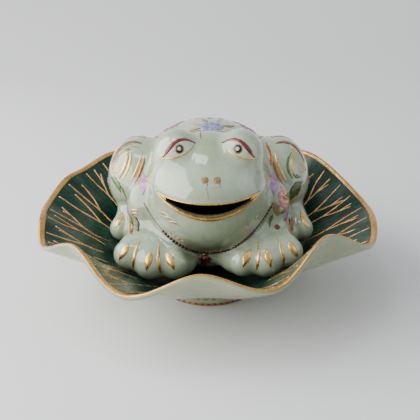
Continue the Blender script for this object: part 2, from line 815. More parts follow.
TAN = enamel_material("tan_enamel", (0.17, 0.12, 0.045), (0.29, 0.215, 0.10))
LEAF_ENAMEL = enamel_material("leaf_enamel", (0.035, 0.10, 0.022), (0.16, 0.26, 0.075), 420)
OLIVE = enamel_material("olive_enamel", (0.018, 0.040, 0.012), (0.15, 0.19, 0.055), 620)
TEAL = enamel_material("teal_enamel", (0.035, 0.15, 0.15), (0.12, 0.30, 0.28))
LILAC = enamel_material("lilac_enamel", (0.36, 0.13, 0.37), (0.52, 0.27, 0.51), 150)
PURPLE = enamel_material("purple_enamel", (0.20, 0.045, 0.16), (0.42, 0.16, 0.36), 200)
PINK = enamel_material("pink_enamel", (0.50, 0.14, 0.20), (0.66, 0.36, 0.38), 330)
ORANGE = enamel_material("orange_enamel", (0.48, 0.13, 0.035), (0.62, 0.36, 0.13), 420)
BLUSH = enamel_material("blush_enamel", (0.52, 0.30, 0.20), (0.50, 0.44, 0.34), 300)
BLUE = enamel_material("blue_enamel", (0.16, 0.20, 0.42), (0.26, 0.30, 0.52), 300)
DEEP_BLUE = enamel_material("deep_blue_enamel", (0.09, 0.11, 0.30), (0.16, 0.18, 0.42), 300)
BLACK = enamel_material("black_enamel", (0.004, 0.004, 0.004), (0.018, 0.016, 0.014))
WHITE = enamel_material("eye_white", (0.46, 0.49, 0.39), (0.56, 0.58, 0.48), 120)

# ---------------------------------------------------------------- frog, in separate parts

low, high = (-86, -60, 14), (88, 97, 136)
points, quads = surface_net(field_grid(frog_field, low, high, VOXEL), low, VOXEL)
points = settle(frog_field, points, rounds=3)
skin_normals = normals_of(frog_field, points)
labels = label_faces(points, quads)


def glaze_attributes(p, n):
    """How deep the glaze pools, and the painted washes as RGBA, at points with normals."""
    reach = 6.5
    crease = np.clip((reach - skin_field(p + n * reach)) / reach, 0, 1)
    under = np.clip(0.25 - n[:, 2], 0, 1) * np.clip((75 - p[:, 2]) / 50, 0, 1)
    pool = np.clip(0.9 * crease**1.2 + 0.65 * under, 0, 0.9)
    wash = np.zeros((len(p), 4))
    between_brows = np.exp(-(((p[:, 0] - 0.5) / 7.5) ** 4)) * np.clip((p[:, 2] - 108) / 10, 0, 1)
    between_brows *= np.clip((14 - p[:, 1]) / 8, 0, 1)
    wash[:, :3] = OLIVE_WASH
    wash[:, 3] = 0.7 * between_brows
    return pool, wash


for label, node in enumerate(["frog_body"] + [name for name, _, _ in LIMBS]):
    own = quads[labels == label]
    if label == 0:
        vertices, shapes, kept, used = close_piece(points, own, -1.2)
    else:
        vertices, shapes, kept, used = close_piece(points, own, -1.0)
    normals = np.zeros((len(vertices), 3))
    normals[:kept] = skin_normals[used]
    pool, wash = glaze_attributes(vertices, np.where(normals == 0, 0.01, normals))
    centres = np.array([vertices[s].mean(0) for s in shapes])
    inside = hollow_field(centres) < 0.8
    piece = make_object(
        node + "_glaze", vertices, shapes, [GLAZE, CAVITY], normals, {"pool": pool, "wash": wash}, inside
    )
    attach(piece, "frog")
    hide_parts(node)

# ---------------------------------------------------------------- brushwork on the frog

COLOURS = {
    "gold": (GOLD, "gilding"),
    "brown_gold": (BROWN_GOLD, "gilding"),
    "pale_gold": (PALE_GOLD, "gilding"),
    "maroon": (MAROON, "painted_enamel"),
    "iron_red": (IRON_RED, "iron_red"),
    "brown": (BROWN, "painted_enamel"),
    "tan": (TAN, "painted_enamel"),
    "green": (LEAF_ENAMEL, "painted_enamel"),
    "olive": (OLIVE, "painted_enamel"),
    "teal": (TEAL, "painted_enamel"),
    "lilac": (LILAC, "painted_enamel"),
    "purple": (PURPLE, "painted_enamel"),
    "pink": (PINK, "painted_enamel"),
    "orange": (ORANGE, "painted_enamel"),
    "blush": (BLUSH, "painted_enamel"),
    "blue": (BLUE, "painted_enamel"),
    "deep_blue": (DEEP_BLUE, "painted_enamel"),
    "black": (BLACK, "painted_enamel"),
    "white": (WHITE, "eye_white"),
}
paints = {name: Paint() for name in COLOURS}
BRUSH_WIDTH = 1.2
FRONT = (0.0, 25.4)
TOP = (0.0, 90.0)
BACK = (180.0, 30.0)
SIDES = {1: (90.0, 15.0), -1: (-90.0, 15.0)}


def spread(widths, count):
    """Half-widths along a stroke, eased between the few that are given."""
    at = np.linspace(0, len(widths) - 1, count)
    i = np.minimum(at.astype(int), len(widths) - 2)
    t = at - i
    t = t * t * (3 - 2 * t)
    w = np.array(widths, float)
    return w[i] + (w[i + 1] - w[i]) * t


def stroke(colour, widths, marks, view=FRONT, height=None, lift=0.0):
    """A brush stroke through marks (across, up) in a view, with its half-widths from end to end."""
    path = cast(smooth_path(marks, 0.9), *view)
    keep = np.append(True, np.sqrt((np.diff(path, axis=0) ** 2).sum(-1)) > 0.05)
    path = path[keep]
    path[1:-1] = 0.5 * path[1:-1] + 0.25 * (path[:-2] + path[2:])
    facing = normals_of(skin_field, path)
    half = spread(widths, len(path)) * BRUSH_WIDTH
    if height is None:
        height = 0.26 + 0.10 * min(max(widths), 2.5)
    paints[colour].add(*ribbon(path, facing, half, height + lift, field=skin_field))


def disc(paint, centre, facing, across, radii, height, field=None, lift=0.0):
    """A low dome of paint: an oval about centre, closed underneath."""
    along = np.cross(facing, across)
    t = np.linspace(0, 2 * math.pi, 22, endpoint=False)[:, None]
    oval = np.cos(t) * across * radii[0] + np.sin(t) * along * radii[1]
    rings = []
    for share, rise in ((0.5, -0.3), (1.0, -0.3), (1.0, 0.25 * height), (0.86, 0.75 * height), (0.5, height)):
        base = centre + oval * share
        if field is not None:
            base = base - facing * field(base)[:, None]
        rings.append(base + facing * (rise + (lift if rise > 0 else 0)))
    k = len(t)
    points = np.concatenate(rings + [[centre - facing * 0.3, centre + facing * (height * 1.05 + lift)]])
    faces = []
    for i in range(len(rings) - 1):
        for j in range(k):
            n = (j + 1) % k
            faces.append([i * k + j, i * k + n, (i + 1) * k + n, (i + 1) * k + j])
    for j in range(k):
        n = (j + 1) % k
        faces.append([5 * k, n, j])
        faces.append([5 * k + 1, 4 * k + j, 4 * k + n])
    paint.add(points, faces)


def dab(colour, mark, radii, view=FRONT, height=0.4, lift=0.0):
    centre = cast([mark], *view)[0]
    facing = normals_of(skin_field, centre[None])[0]
    across = view_axes(*view)[0]
    across = across - facing * (across @ facing)
    across /= np.linalg.norm(across)
    disc(paints[colour], centre, facing, across, radii, height, skin_field, lift)


def patch(colour, outline, middle, height, view=FRONT):
    """A thin sheet inside a closed outline of marks, crowned towards its middle mark."""
    edge = smooth_path(list(outline) + [outline[0]], 1.0)[:-1]
    middle = np.array(middle, float)
    rings = []
    for share, rise in ((0.5, -0.35), (1.0, -0.35), (1.0, 0.35), (0.9, 0.8), (0.65, 0.97), (0.35, 1.0)):
        base = cast(middle + (edge - middle) * share, *view)
        facing = normals_of(skin_field, base)
        rings.append(base + facing * (rise * height if rise > 0 else rise))
    centre = cast(middle[None], *view)
    facing = normals_of(skin_field, centre)
    k = len(edge)
    points = np.concatenate(rings + [centre - 0.35 * facing, centre + height * facing])
    faces = []
    for i in range(len(rings) - 1):
        for j in range(k):
            n = (j + 1) % k
            faces.append([i * k + j, (i + 1) * k + j, (i + 1) * k + n, i * k + n])
    last = (len(rings) - 1) * k
    for j in range(k):
        n = (j + 1) % k
        faces.append([len(rings) * k, j, n])
        faces.append([len(rings) * k + 1, last + n, last + j])
    area = np.cross(np.roll(edge, -1, 0) - middle, edge - middle).sum()
    if area > 0:
        faces = [f[::-1] for f in faces]
    paints[colour].add(points, faces)


def curl(centre, radius, start, turns, shrink=0.25, points=9):
    """Marks along a spiral that tightens from radius to shrink times radius."""
    marks = []
    for t in np.linspace(0, 1, points):
        r = radius * (1 - (1 - shrink) * t)
        a = math.radians(start + 360 * turns * t)
        marks.append((centre[0] + r * math.cos(a), centre[1] + r * math.sin(a)))
    return marks


def flower(view, centre, radius, petals, colour, heart, turn=0.0, squash=1.0):
    """Petals round a heart, each with a gilt outline stroke beside it."""
    for i in range(petals):
        a = math.radians(turn + 360 * i / petals)
        d = np.array([math.cos(a), math.sin(a) * squash])
        c = np.array(centre, float)
        s = np.array([-d[1], d[0]])
        width = radius * 0.9 / petals + radius * 0.14
        petal = [c + d * radius * share for share in (0.32, 0.7, 1.0)]
        outline = [c + d * radius * 1.02, petal[1] + s * width, c + d * radius * 0.36]
        stroke(colour, (0.3, width, width * 0.8, 0.3), petal, view)
        stroke("gold", (0.15, 0.38, 0.15), outline, view)
    dab(heart, centre, (radius * 0.24, radius * 0.24), view, 0.6)


# Marks on the front. A mark is (across, up) from the middle of the view.
LEVEL = (0.0, 0.0)
EYE_ACROSS, EYE_UP = 21.5, 52.5  # middle of the iris
EYE_REACH = 11.7  # from there to each corner
LID_ARCH, LID_FALL, RIM_SAG = 4.2, 10.5, 0.13
IRIS, PUPIL = 3.3, 1.8
NOSTRIL_MIDDLE, NOSTRIL_APART, NOSTRIL_UP = 1.7, 4.5, 29.3
NECKLACE_HALF, NECKLACE_LOW, NECKLACE_RISE = 49.0, -24.0, 37.5
PENDANT = (-2.5, -28.3)
NAIL_BACK, NAIL_AHEAD = 9.5, 4.0  # a nail's ends, from the middle of the toe's tip


def seen(point):
    """Where a point of the model stands in the front view."""
    up = view_axes(*FRONT)[1]
    offset = np.array(point, float) - PAINT_CENTRE
    return np.array([offset[0], offset @ up])


def arc(start, end, bow=0.0, count=7):
    """Marks along an arc. bow is its rise to the left of the way, as a share of its length."""
    start, end = np.array(start, float), np.array(end, float)
    t = np.linspace(0, 1, count)[:, None]
    way = end - start
    return start + way * t + np.array([-way[1], way[0]]) * (4 * bow * t * (1 - t))


def on_haunch(s, share, angle):
    """A mark at a share of the way out from the haunch's middle, at an angle up from its outer side."""
    centre, radii, tilt = HAUNCH
    pitch, a, lean = (math.radians(v) for v in (FRONT[1], angle, tilt))
    x = share * radii[0] * math.cos(a)
    y = share * math.hypot(radii[1] * math.sin(pitch), radii[2] * math.cos(pitch)) * math.sin(a)
    turned = (s * (x * math.cos(lean) + y * math.sin(lean)), y * math.cos(lean) - x * math.sin(lean))
    return seen(side(centre, s)) + turned


def at_arm(s, across, up):
    """A mark outward and up from the middle of the foreleg."""
    return seen(side(ARM[0], s)) + (s * across, up)


def paint_eyes():
    t = np.linspace(0, 1, 9)
    for s in (1, -1):
        across = EYE_ACROSS + EYE_REACH * (2 * t - 1)
        lid = np.stack([s * across, EYE_UP + 4.5 - LID_FALL * t**2.2 + LID_ARCH * np.sin(math.pi * t)], -1)
        inner, outer = lid[0] + (2 * s, -3), lid[-1] + (2.5 * s, -1)
        rim = arc(inner, outer, -RIM_SAG * s)
        middle = (s * EYE_ACROSS, EYE_UP)
        patch("white", np.concatenate([lid, rim[::-1]]), middle, 0.45)
        stroke("maroon", (0.4, 1.1, 1.4, 1.6, 1.8, 1.7, 0.3), lid, height=0.75)
        stroke("gold", (0.25, 0.6, 0.6, 0.3), rim, height=0.6)
        stroke("gold", (0.3, 0.5, 0.2), arc(outer, (s * (EYE_ACROSS + 4), EYE_UP + 3)), height=0.65)
        discs = (("tan", IRIS + 0.75, 0.72), ("black", IRIS, 0.95), ("white", PUPIL, 1.15))
        for colour, radius, height in discs:
            dab(colour, middle, (radius, radius * 1.06), height=height)


def lip_line(middle, past, reach=1.0):
    """Marks along a lip's arc in the level view, past its edge by so much at the middle."""
    x = np.linspace(-1, 1, 15) * MOUTH_HALF * reach
    height = mouth_arc(x, middle) + past * (1 - 0.55 * (x / MOUTH_HALF) ** 2)
    return np.stack([x, height - PAINT_CENTRE[2]], -1)


def paint_mouth():
    stroke("gold", (0.3, 0.55, 0.6, 0.6, 0.55, 0.3), lip_line(MOUTH_UPPER_Z, 0.6), LEVEL)
    stroke("brown_gold", (0.4, 0.9, 0.95, 0.9, 0.4), lip_line(MOUTH_LOWER_Z, -1.1, 0.96), LEVEL, 0.45)
    stroke("gold", (0.6, 1.15, 1.25, 1.15, 0.6), lip_line(MOUTH_LOWER_Z, -2.3), LEVEL, 0.7)
    for s in (1, -1):
        corner = np.array((s * MOUTH_HALF, MOUTH_CORNER_Z - PAINT_CENTRE[2]))
        stroke("gold", (0.4, 1.2, 0.4), arc(corner + (0.6 * s, 0.4), corner - (6 * s, 2.2)), LEVEL)
        spot = np.array((NOSTRIL_MIDDLE + s * NOSTRIL_APART, NOSTRIL_UP))
        stroke("tan", (0.3, 0.6, 0.15), arc(spot, spot + (1.8, -5), 0.12))
        dab("tan", spot, (2.9, 2.8), height=0.4)
        dab("brown_gold", spot - (0, 0.6), (1.3, 1.1), height=0.55)
    below = NOSTRIL_UP - 5
    stroke("olive", (0.12, 0.2, 0.12), arc((-2, below), (0, below - 9), 0.04), height=0.15)
    stroke("green", (0.08, 0.14, 0.08), arc((2, below - 1), (10, below)), height=0.12)


def necklace_up(across):
    return NECKLACE_LOW + NECKLACE_RISE * np.abs(across / NECKLACE_HALF) ** 2.3


def paint_necklace():
    across = np.linspace(-NECKLACE_HALF, NECKLACE_HALF, 25)
    cord = np.stack([across, necklace_up(across)], -1)
    stroke("maroon", (0.35, 0.4, 0.5, 0.8, 0.8, 0.8, 0.6, 0.5), cord, height=0.4)
    way = smooth_path(cord, 0.2)
    step = np.append(0, np.cumsum(np.sqrt((np.diff(way, axis=0) ** 2).sum(-1))))
    for i, at in enumerate(np.arange(26, step[-1] - 4, 2.7)):
        size = 1.25 if at < 88 else 0.95
        dab("black" if i % 3 else "maroon", way[np.searchsorted(step, at)], (size * 1.1, size), height=0.85)
    for x in (-28, -25, -22, -19):
        dab("orange", (x, necklace_up(x) + 4.5), (1.2, 1.0), height=0.4)
    middle = np.array(PENDANT)
    dab("brown_gold", middle + (0, 2.6), (2.1, 1.3), height=0.8)
    for angle in (-10, 190, 232, 270, 308):
        tip = middle + 5 * np.array([math.cos(math.radians(angle)), math.sin(math.radians(angle))])
        stroke("maroon", (1.0, 1.9, 0.4), arc(middle, tip), height=0.6)
    dab("brown_gold", middle, (2.0, 1.0), height=0.9)


def paint_cheeks():
    for i in range(3):  # a faint gilt sprig on the left
        start = np.array((-38 + 4 * i, 6 - 3.5 * i))
        stroke("pale_gold", (0.2, 1.1, 0.2), arc(start, start + (9, -3), 0.08), height=0.2)
    stroke("pale_gold", (0.3, 1.0, 0.3), arc((35, 0), (37, 4)), height=0.2)
    for start, end, width in (((32, -3), (34, 0), 1.0), ((26, -4), (30, -8), 1.9)):
        stroke("blush", (0.3, width, 0.4), arc(start, end), height=0.2)
    for s in (1, -1):
        stroke("lilac", (0.3, 2.8, 3.0, 0.3), arc((51 * s, 37), (49.5 * s, 19), -0.06 * s))


def paint_haunches():
    for s in (1, -1):
        band = [on_haunch(s, 0.80, a) for a in range(28, 120, 10)]
        stroke("brown", (0.8, 2.2, 2.4, 2.3, 2.0, 0.8), band)
        inside = arc(on_haunch(s, 0.60, 128), on_haunch(s, 0.28, -50), -0.05 * s)
        stroke("gold", (0.3, 0.9, 1.0, 0.4), inside)
        stroke("brown_gold", (0.3, 1.1, 1.1, 0.4), inside - (2.4 * s, 3))
    # left: paired strokes with a spiral and narrow leaves
    pair = arc(on_haunch(-1, 0.61, 78), on_haunch(-1, 0.62, -6), 0.09)
    stroke("gold", (0.4, 1.2, 1.2, 0.5), pair)
    stroke("gold", (0.4, 1.2, 1.2, 0.5), pair + (3, -2))
    stroke("green", (0.3, 0.6, 0.6, 0.3), pair + (1.3, -1))
    stroke("gold", (0.4, 1.1, 1.0, 0.5), curl(on_haunch(-1, 0.66, 13), 4.2, 215, -1.2))
    stroke("green", (0.5, 2.4, 2.2, 0.5), arc(on_haunch(-1, 0.86, 0), on_haunch(-1, 0.75, -36), 0.08))
    stroke("green", (0.3, 0.9, 0.3), arc(on_haunch(-1, 0.62, -16), on_haunch(-1, 0.75, -55)))
    stroke("teal", (0.5, 1.6, 0.5), arc(on_haunch(-1, 0.80, 62), on_haunch(-1, 0.72, 80)))
    stroke("green", (0.4, 1.5, 0.5), arc(on_haunch(-1, 0.65, 68), on_haunch(-1, 0.6, 88)))
    stroke("iron_red", (0.3, 0.9, 1.0, 0.8, 0.3), [on_haunch(-1, 0.73, a) for a in range(32, 104, 9)])
    for a in np.linspace(32, 112, 12):
        dab("iron_red", on_haunch(-1, 0.66, a), (0.7, 0.6), height=0.35)
    # right: a gilt crescent in a green one, a hook and a broad leaf
    crescent = arc(on_haunch(1, 0.68, 59), on_haunch(1, 0.54, -8), -0.19)
    stroke("gold", (0.4, 1.1, 1.2, 0.5), crescent)
    stroke("green", (0.3, 1.0, 1.1, 0.4), crescent - (3.4, 0.6))
    stroke("green", (0.3, 1.5, 0.4), arc(on_haunch(1, 0.35, 0), on_haunch(1, 0.66, -3), -0.1))
    stroke("gold", (0.4, 1.2, 1.0, 0.4), curl(on_haunch(1, 0.68, 14), 4.0, 120, -0.6))
    stroke("orange", (0.4, 1.4, 0.5), arc(on_haunch(1, 0.70, 28), on_haunch(1, 0.84, 12), 0.08))
    stroke("olive", (0.5, 4.4, 4.6, 1.2), arc(on_haunch(1, 0.77, -10), on_haunch(1, 0.81, -55), -0.06))
    stroke("gold", (0.4, 0.9, 0.4), arc(on_haunch(1, 0.84, -50), on_haunch(1, 0.9, -60)))
    stroke("brown_gold", (0.4, 1.1, 1.1, 0.6), arc(on_haunch(1, 1.0, 136), on_haunch(1, 0.45, 165), 0.05))


def paint_forelegs():
    # left: a purple petal, gilt arcs and a dark leaf
    stroke("purple", (0.4, 2.6, 0.6), arc(at_arm(-1, 14, 9), at_arm(-1, 10, -2)))
    stroke("pink", (0.4, 0.5, 0.4), curl(at_arm(-1, 12, 10), 2.4, 230, -0.7))
    for rise in (3.2, 0.8):
        stroke("gold", (0.3, 0.9, 0.4), arc(at_arm(-1, 9.5, rise - 1), at_arm(-1, 4, rise), 0.3))
    stroke("olive", (1.0, 3.3, 3.1, 0.8), arc(at_arm(-1, 9.5, 1), at_arm(-1, 3.5, -11.5)), height=0.9)
    # right: a pink paisley with gilt curls, a tan heart, petals and a red berry
    stroke("pink", (0.6, 4.4, 4.8, 1.2), arc(at_arm(1, 5, 22), at_arm(1, 10, 3.5), 0.05))
    stroke("tan", (0.6, 2.7, 2.4, 0.8), arc(at_arm(1, 1, 10), at_arm(1, 3, 0)))
    stroke("orange", (0.4, 1.4, 1.2, 0.4), arc(at_arm(1, 1, 9), at_arm(1, 3.5, 3)))
    stroke("purple", (0.4, 2.0, 1.8, 0.4), arc(at_arm(1, 11.5, 3), at_arm(1, 7.5, -4)))
    stroke("green", (0.3, 1.6, 0.4), arc(at_arm(1, 4.5, 1.5), at_arm(1, 9.5, 5)))
    stroke("olive", (0.3, 1.2, 0.9, 0.3), arc(at_arm(1, -0.5, 1), at_arm(1, -3.5, -8.5), -0.08))
    stroke("pale_gold", (0.3, 1.2, 0.4), arc(at_arm(1, 5, -11), at_arm(1, 9.5, -11.5), 0.1))
    for colour, width, spot, radius in (
        ("gold", 0.8, (6.5, 17), 3.2), ("gold", 0.8, (8.5, 11), 3.0), ("maroon", 0.35, (8, 14), 2.6),
    ):
        stroke(colour, (0.3, width, width, 0.3), curl(at_arm(1, *spot), radius, 110, -0.9), height=0.75)
    dab("maroon", at_arm(1, 2.5, -8.6), (2.3, 2.2), height=0.9)
    dab("black", at_arm(1, 2.5, -8.6), (0.9, 0.9), height=1.2)


def nail(wrist, tip, outward, splay):
    """Marks along a nail, on the toe's own line turned outward by splay degrees."""
    line = (tip - wrist) / np.hypot(*(tip - wrist))
    c, s = math.cos(math.radians(splay)), math.sin(math.radians(splay))
    line = np.array([c * line[0] - s * line[1], s * line[0] + c * line[1]])
    return arc(tip - NAIL_BACK * line + (outward, 0), tip + NAIL_AHEAD * line + (outward, 0))


def paint_feet():
    for s in (1, -1):
        nails = []
        for (a, b, _, _), outward, splay in zip(FORE_TOES[:3], (1, 2, 5), (0, 12, 0)):
            wrist, tip = (seen(np.array(side(p, s)) + FORE_SHIFT[s]) for p in (a, b))
            nails.append(nail(wrist, tip, outward * s, splay * s))
            stroke("gold", (0.5, 2.0, 2.6, 2.3, 1.5, 0.4), nails[-1], height=0.6)
            stroke("brown_gold", (0.3, 0.8, 0.2), nails[-1][-3:], height=0.75)
        for first, second in zip(nails, nails[1:]):
            groove = arc((first[0] + second[0]) / 2 + (0, 5), (first[-1] + second[-1]) / 2 - (0, 2), 0.04 * s)
            stroke("gold", (0.3, 0.9, 1.2, 1.1, 0.6), groove)
            stroke("brown_gold", (0.3, 1.0, 0.3), groove[-3:], height=0.6)
        for (a, b, _, _), colour in zip(HIND_TOES, ("brown_gold", "gold")):
            wrist, tip = (seen(np.array(side(p, s)) + HIND_SHIFT) for p in (a, b))
            stroke(colour, (0.4, 1.9, 2.0, 0.5), nail(wrist, tip, 3 * s, 0) + (0, 4), height=0.5)


FLOWER_MIDDLE = np.array((2.5, 33.0))  # middle of the crown's flower, seen from above
CROWN_PETALS = 8


def paint_crown():
    """A flower on the crown between the brows and the back, with petals that run out to each side."""
    dab("blue", FLOWER_MIDDLE, (9.2, 9.5), TOP, height=0.35)
    for i in range(CROWN_PETALS):
        a = math.radians(360 / CROWN_PETALS * i)
        d = np.array([math.cos(a), math.sin(a)])
        stroke("deep_blue", (0.3, 1.5, 0.3), [FLOWER_MIDDLE + 3 * d, FLOWER_MIDDLE + 8 * d], TOP, height=0.6)
    for i in range(CROWN_PETALS):
        a = math.radians(360 / CROWN_PETALS * (i + 0.5))
        d = np.array([math.cos(a), math.sin(a)])
        petal = [FLOWER_MIDDLE + d * r for r in (9.5, 14, 18.5)]
        edge = [FLOWER_MIDDLE + d * r + (0, 0.8) for r in (9.5, 14, 19)]
        stroke(("tan", "blush")[i % 2], (0.4, 2.3, 0.5), petal, TOP, height=0.3)
        stroke("brown_gold", (0.15, 0.4, 0.15), edge, TOP, height=0.5)
    stroke("brown_gold", (0.2, 0.5, 0.2), [(-6, 68), (-6, 64.5), (-5.5, 60.5)], height=0.25)


def paint_back():
    """The far side, in the manner of the front: a lotus on the back, scrolls, leaves and banded haunches."""
    flower(BACK, (0, 14), 17, 8, "lilac", "orange", 0, 0.9)
    flower(BACK, (0, 14), 9, 8, "pink", "gold", 22.5, 0.9)
    for s in (1, -1):
        stroke("green", (0.5, 2.8, 2.2, 0.5), [(17 * s, 4), (22 * s, -4), (25 * s, -12)], BACK)
        stroke("olive", (0.5, 2.6, 2.0, 0.5), [(19 * s, 20), (27 * s, 22), (35 * s, 19)], BACK)
        stroke("gold", (0.3, 0.7, 0.7, 0.5, 0.3), curl((31 * s, 4), 9, 90 - 90 * s, 1.2 * s), BACK)
        lower = [(20 * s, -18), (30 * s, -14), (38 * s, -6), (41 * s, 6), (38 * s, 18)]
        upper = [(24 * s, 38), (32 * s, 32), (40 * s, 22), (44 * s, 8)]
        stroke("gold", (0.2, 0.6, 0.7, 0.3), lower, BACK)
        stroke("brown_gold", (0.2, 0.6, 0.7, 0.3), upper, BACK)
        flower(TOP, (30 * s, 52), 8, 5, "purple", "orange", 40 * s)
        stroke("gold", (0.3, 0.6, 0.6, 0.3), curl((24 * s, 70), 6.5, 90 + 60 * s, -1.1 * s), TOP)
        stroke("green", (0.4, 1.6, 0.4), [(14 * s, 62), (17 * s, 68), (17 * s, 75)], TOP)
        side_view = SIDES[s]
        far = lambda y, up: (y * s, up)
        turns = np.radians(range(20, 171, 25))
        band = [far(45 - 31 * math.cos(t), 24 + 24 * math.sin(t)) for t in turns]
        stroke("iron_red" if s < 0 else "brown", (0.5, 1.2, 1.4, 1.4, 1.2, 0.5), band, side_view)
        for t in np.radians(range(24, 168, 8)):
            dab("gold", far(45 - 28 * math.cos(t), 22.5 + 21.2 * math.sin(t)), (0.75, 0.75), side_view, 0.5)
        stroke("gold", (0.3, 0.8, 0.8, 0.6, 0.3), [far(*m) for m in curl((40, 22), 11, 200, 1.25)], side_view)
        stroke("gold", (0.2, 0.6, 0.6, 0.3), [far(53, 36), far(60, 28), far(62, 17), far(57, 8)], side_view)
        inside = [far(51, 34), far(57.5, 27), far(59.5, 17), far(55, 9)]
        stroke("green", (0.3, 0.8, 0.8, 0.3), inside, side_view)
        stroke("olive", (0.5, 3.0, 2.6, 0.5), [far(66, 26), far(69, 18), far(68, 9)], side_view)
        stroke("lilac", (0.4, 2.4, 2.4, 0.4), [far(34, 0), far(39, -5), far(46, -8)], side_view)
        stroke("gold", (0.2, 0.5, 0.2), [far(32, -3), far(38, -8), far(46, -11)], side_view)
        flower(side_view, far(60, 0), 5.5, 5, "pink", "orange", 20)


def paint_frog():
    paint_eyes()
    paint_mouth()
    paint_necklace()
    paint_cheeks()
    paint_haunches()
    paint_forelegs()
    paint_feet()
    paint_crown()
    paint_back()
    for colour, (material, slot) in COLOURS.items():
        piece = paints[colour].piece("frog_" + colour + "_brushwork", material, "frog", slot)
        if colour == "white":
            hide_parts("eye_left", "eye_right")


paint_frog()

# ---------------------------------------------------------------- leaf dish

AROUND = 720
azimuths = np.arange(AROUND) * 360 / AROUND
LIP_RADIUS = RIM_WALL / 2
FLOOR_RINGS = (8, 16, 24, 31)  # radii on the flat floor, inside the rising wall


def leaf_ring(station, offset):
    """A ring at a station, moved along and across the leaf's radial normal by offset(out, up)."""
    middle = leaf_middle(azimuths, np.full(AROUND, station))
    out, up = offset(*radial_normal(azimuths, station))
    angle = np.radians(azimuths)
    return middle + np.stack([out * np.cos(angle), out * np.sin(angle), up], -1)


def lip_ring(angle, radius):
    """A ring round the rolled edge: 90 is the painted side, 0 the outermost line, -90 the outside."""
    c, s = math.sin(math.radians(angle)), math.cos(math.radians(angle))
    return leaf_ring(1.0, lambda out, up: (radius * (c * out + s * up), radius * (c * up - s * out)))


def level_ring(radius, z, across=0.0):
    """A ring at one height, with its middle moved across."""
    angle = np.radians(azimuths)
    return np.stack([across + radius * np.cos(angle), radius * np.sin(angle), np.full(AROUND, z)], -1)


def half_wall(station):
    return (LEAF_WALL + (RIM_WALL - LEAF_WALL) * station) / 2


def leaf_rings():
    stations = np.linspace(0.0, 0.985, 56)
    rings = [level_ring(r, FLOOR_TOP, DISH_X) for r in FLOOR_RINGS]
    for s in stations:
        rings.append(leaf_ring(s, lambda out, up: (out * half_wall(s), up * half_wall(s))))
    for angle in (90, 65, 40, 15, -15, -40, -65, -90):
        rings.append(lip_ring(angle, LIP_RADIUS))
    for s in stations[::-1]:
        rings.append(leaf_ring(s, lambda out, up: (-out * half_wall(s), -up * half_wall(s))))
    for r in FLOOR_RINGS[::-1]:
        rings.append(level_ring(r, FLOOR_TOP - LEAF_WALL, DISH_X))
    return rings, len(stations) + 2 * len(FLOOR_RINGS)


def build_leaf():
    rings, painted_rings = leaf_rings()
    k = AROUND
    vertices = np.concatenate(rings + [[[DISH_X, 0, FLOOR_TOP], [DISH_X, 0, FLOOR_TOP - LEAF_WALL]]])
    faces, material = [], []
    for i in range(len(rings) - 1):
        for j in range(k):
            n = (j + 1) % k
            faces.append([i * k + j, (i + 1) * k + j, (i + 1) * k + n, i * k + n])
            material.append(0 if i < painted_rings - 1 else 1)
    last = (len(rings) - 1) * k
    for j in range(k):
        n = (j + 1) % k
        faces.append([len(rings) * k, j, n])
        material.append(0)
        faces.append([len(rings) * k + 1, last + n, last + j])
        material.append(1)
    away = vertices - np.array([DISH_X, 0, 0])
    radius = np.maximum(np.hypot(away[:, 0], away[:, 1]), 1e-6)
    way = np.stack([away[:, 0] / radius * 9, away[:, 1] / radius * 9, radius / 60], -1)
    looks = [LEAF_GREEN, DISH_GLAZE]
    leaf = make_object("leaf_dish_glaze", vertices, faces, looks, None, {"leaf_way": way}, material)
    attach(leaf, "dish")
    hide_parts("leaf_dish")


def build_rim_gilding():
    """A gilt band over the rolled edge: a closed tube that sinks into the glaze at both borders."""
    proud = 0.22

    def top(station, lift):
        rise = half_wall(station) + lift
        return leaf_ring(station, lambda out, up: (out * rise, up * rise))

    behind = np.sin(np.radians(azimuths))
    border = 0.976 + 0.014 * np.sqrt(np.clip(behind, 0, 1)) + 0.006 * np.clip(-behind, 0, 1)
    across = lambda share: border + (1 - border) * share
    rings = [top(border, -0.4), top(across(0.1), proud)]
    rings += [top(across(0.4), proud * 1.2), top(across(0.7), proud)]
    rings += [lip_ring(a, LIP_RADIUS + proud) for a in (75, 55, 38, 22, 10)]
    rings += [lip_ring(a, LIP_RADIUS - 0.5) for a in (4, 35, 60, 90)]
    rings += [top(across(0.4), -0.6)]
    vertices, faces = ring_mesh([np.array(r) for r in np.stack(rings, 1)], closed_path=True)
    band = make_object("rim_gilding", vertices, faces, [RIM_GOLD])
    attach(band, "dish")


build_leaf()
build_rim_gilding()

# ---------------------------------------------------------------- foot ring

RING_PROFILE = [  # radius and height around the standing ring's section
    (30.0, 11.0), (30.3, 6.0), (30.8, 1.2), (31.2, 0.35), (32.0, 0.0), (36.0, 0.0), (36.9, 0.3), (37.3, 1.2),
    (36.7, 5.0), (35.9, 8.6), (35.4, 11.0),
]


def build_foot_ring():
    rings = [level_ring(r, z) for r, z in RING_PROFILE]
    vertices, faces = ring_mesh([np.array(r) for r in np.stack(rings, 1)], closed_path=True)
    ring = make_object("foot_ring_glaze", vertices, faces, [DISH_GLAZE])
    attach(ring, "dish")
    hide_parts("foot_ring")


build_foot_ring()

# ---------------------------------------------------------------- brushwork on the dish

VEIN_SPACING = 9  # degrees


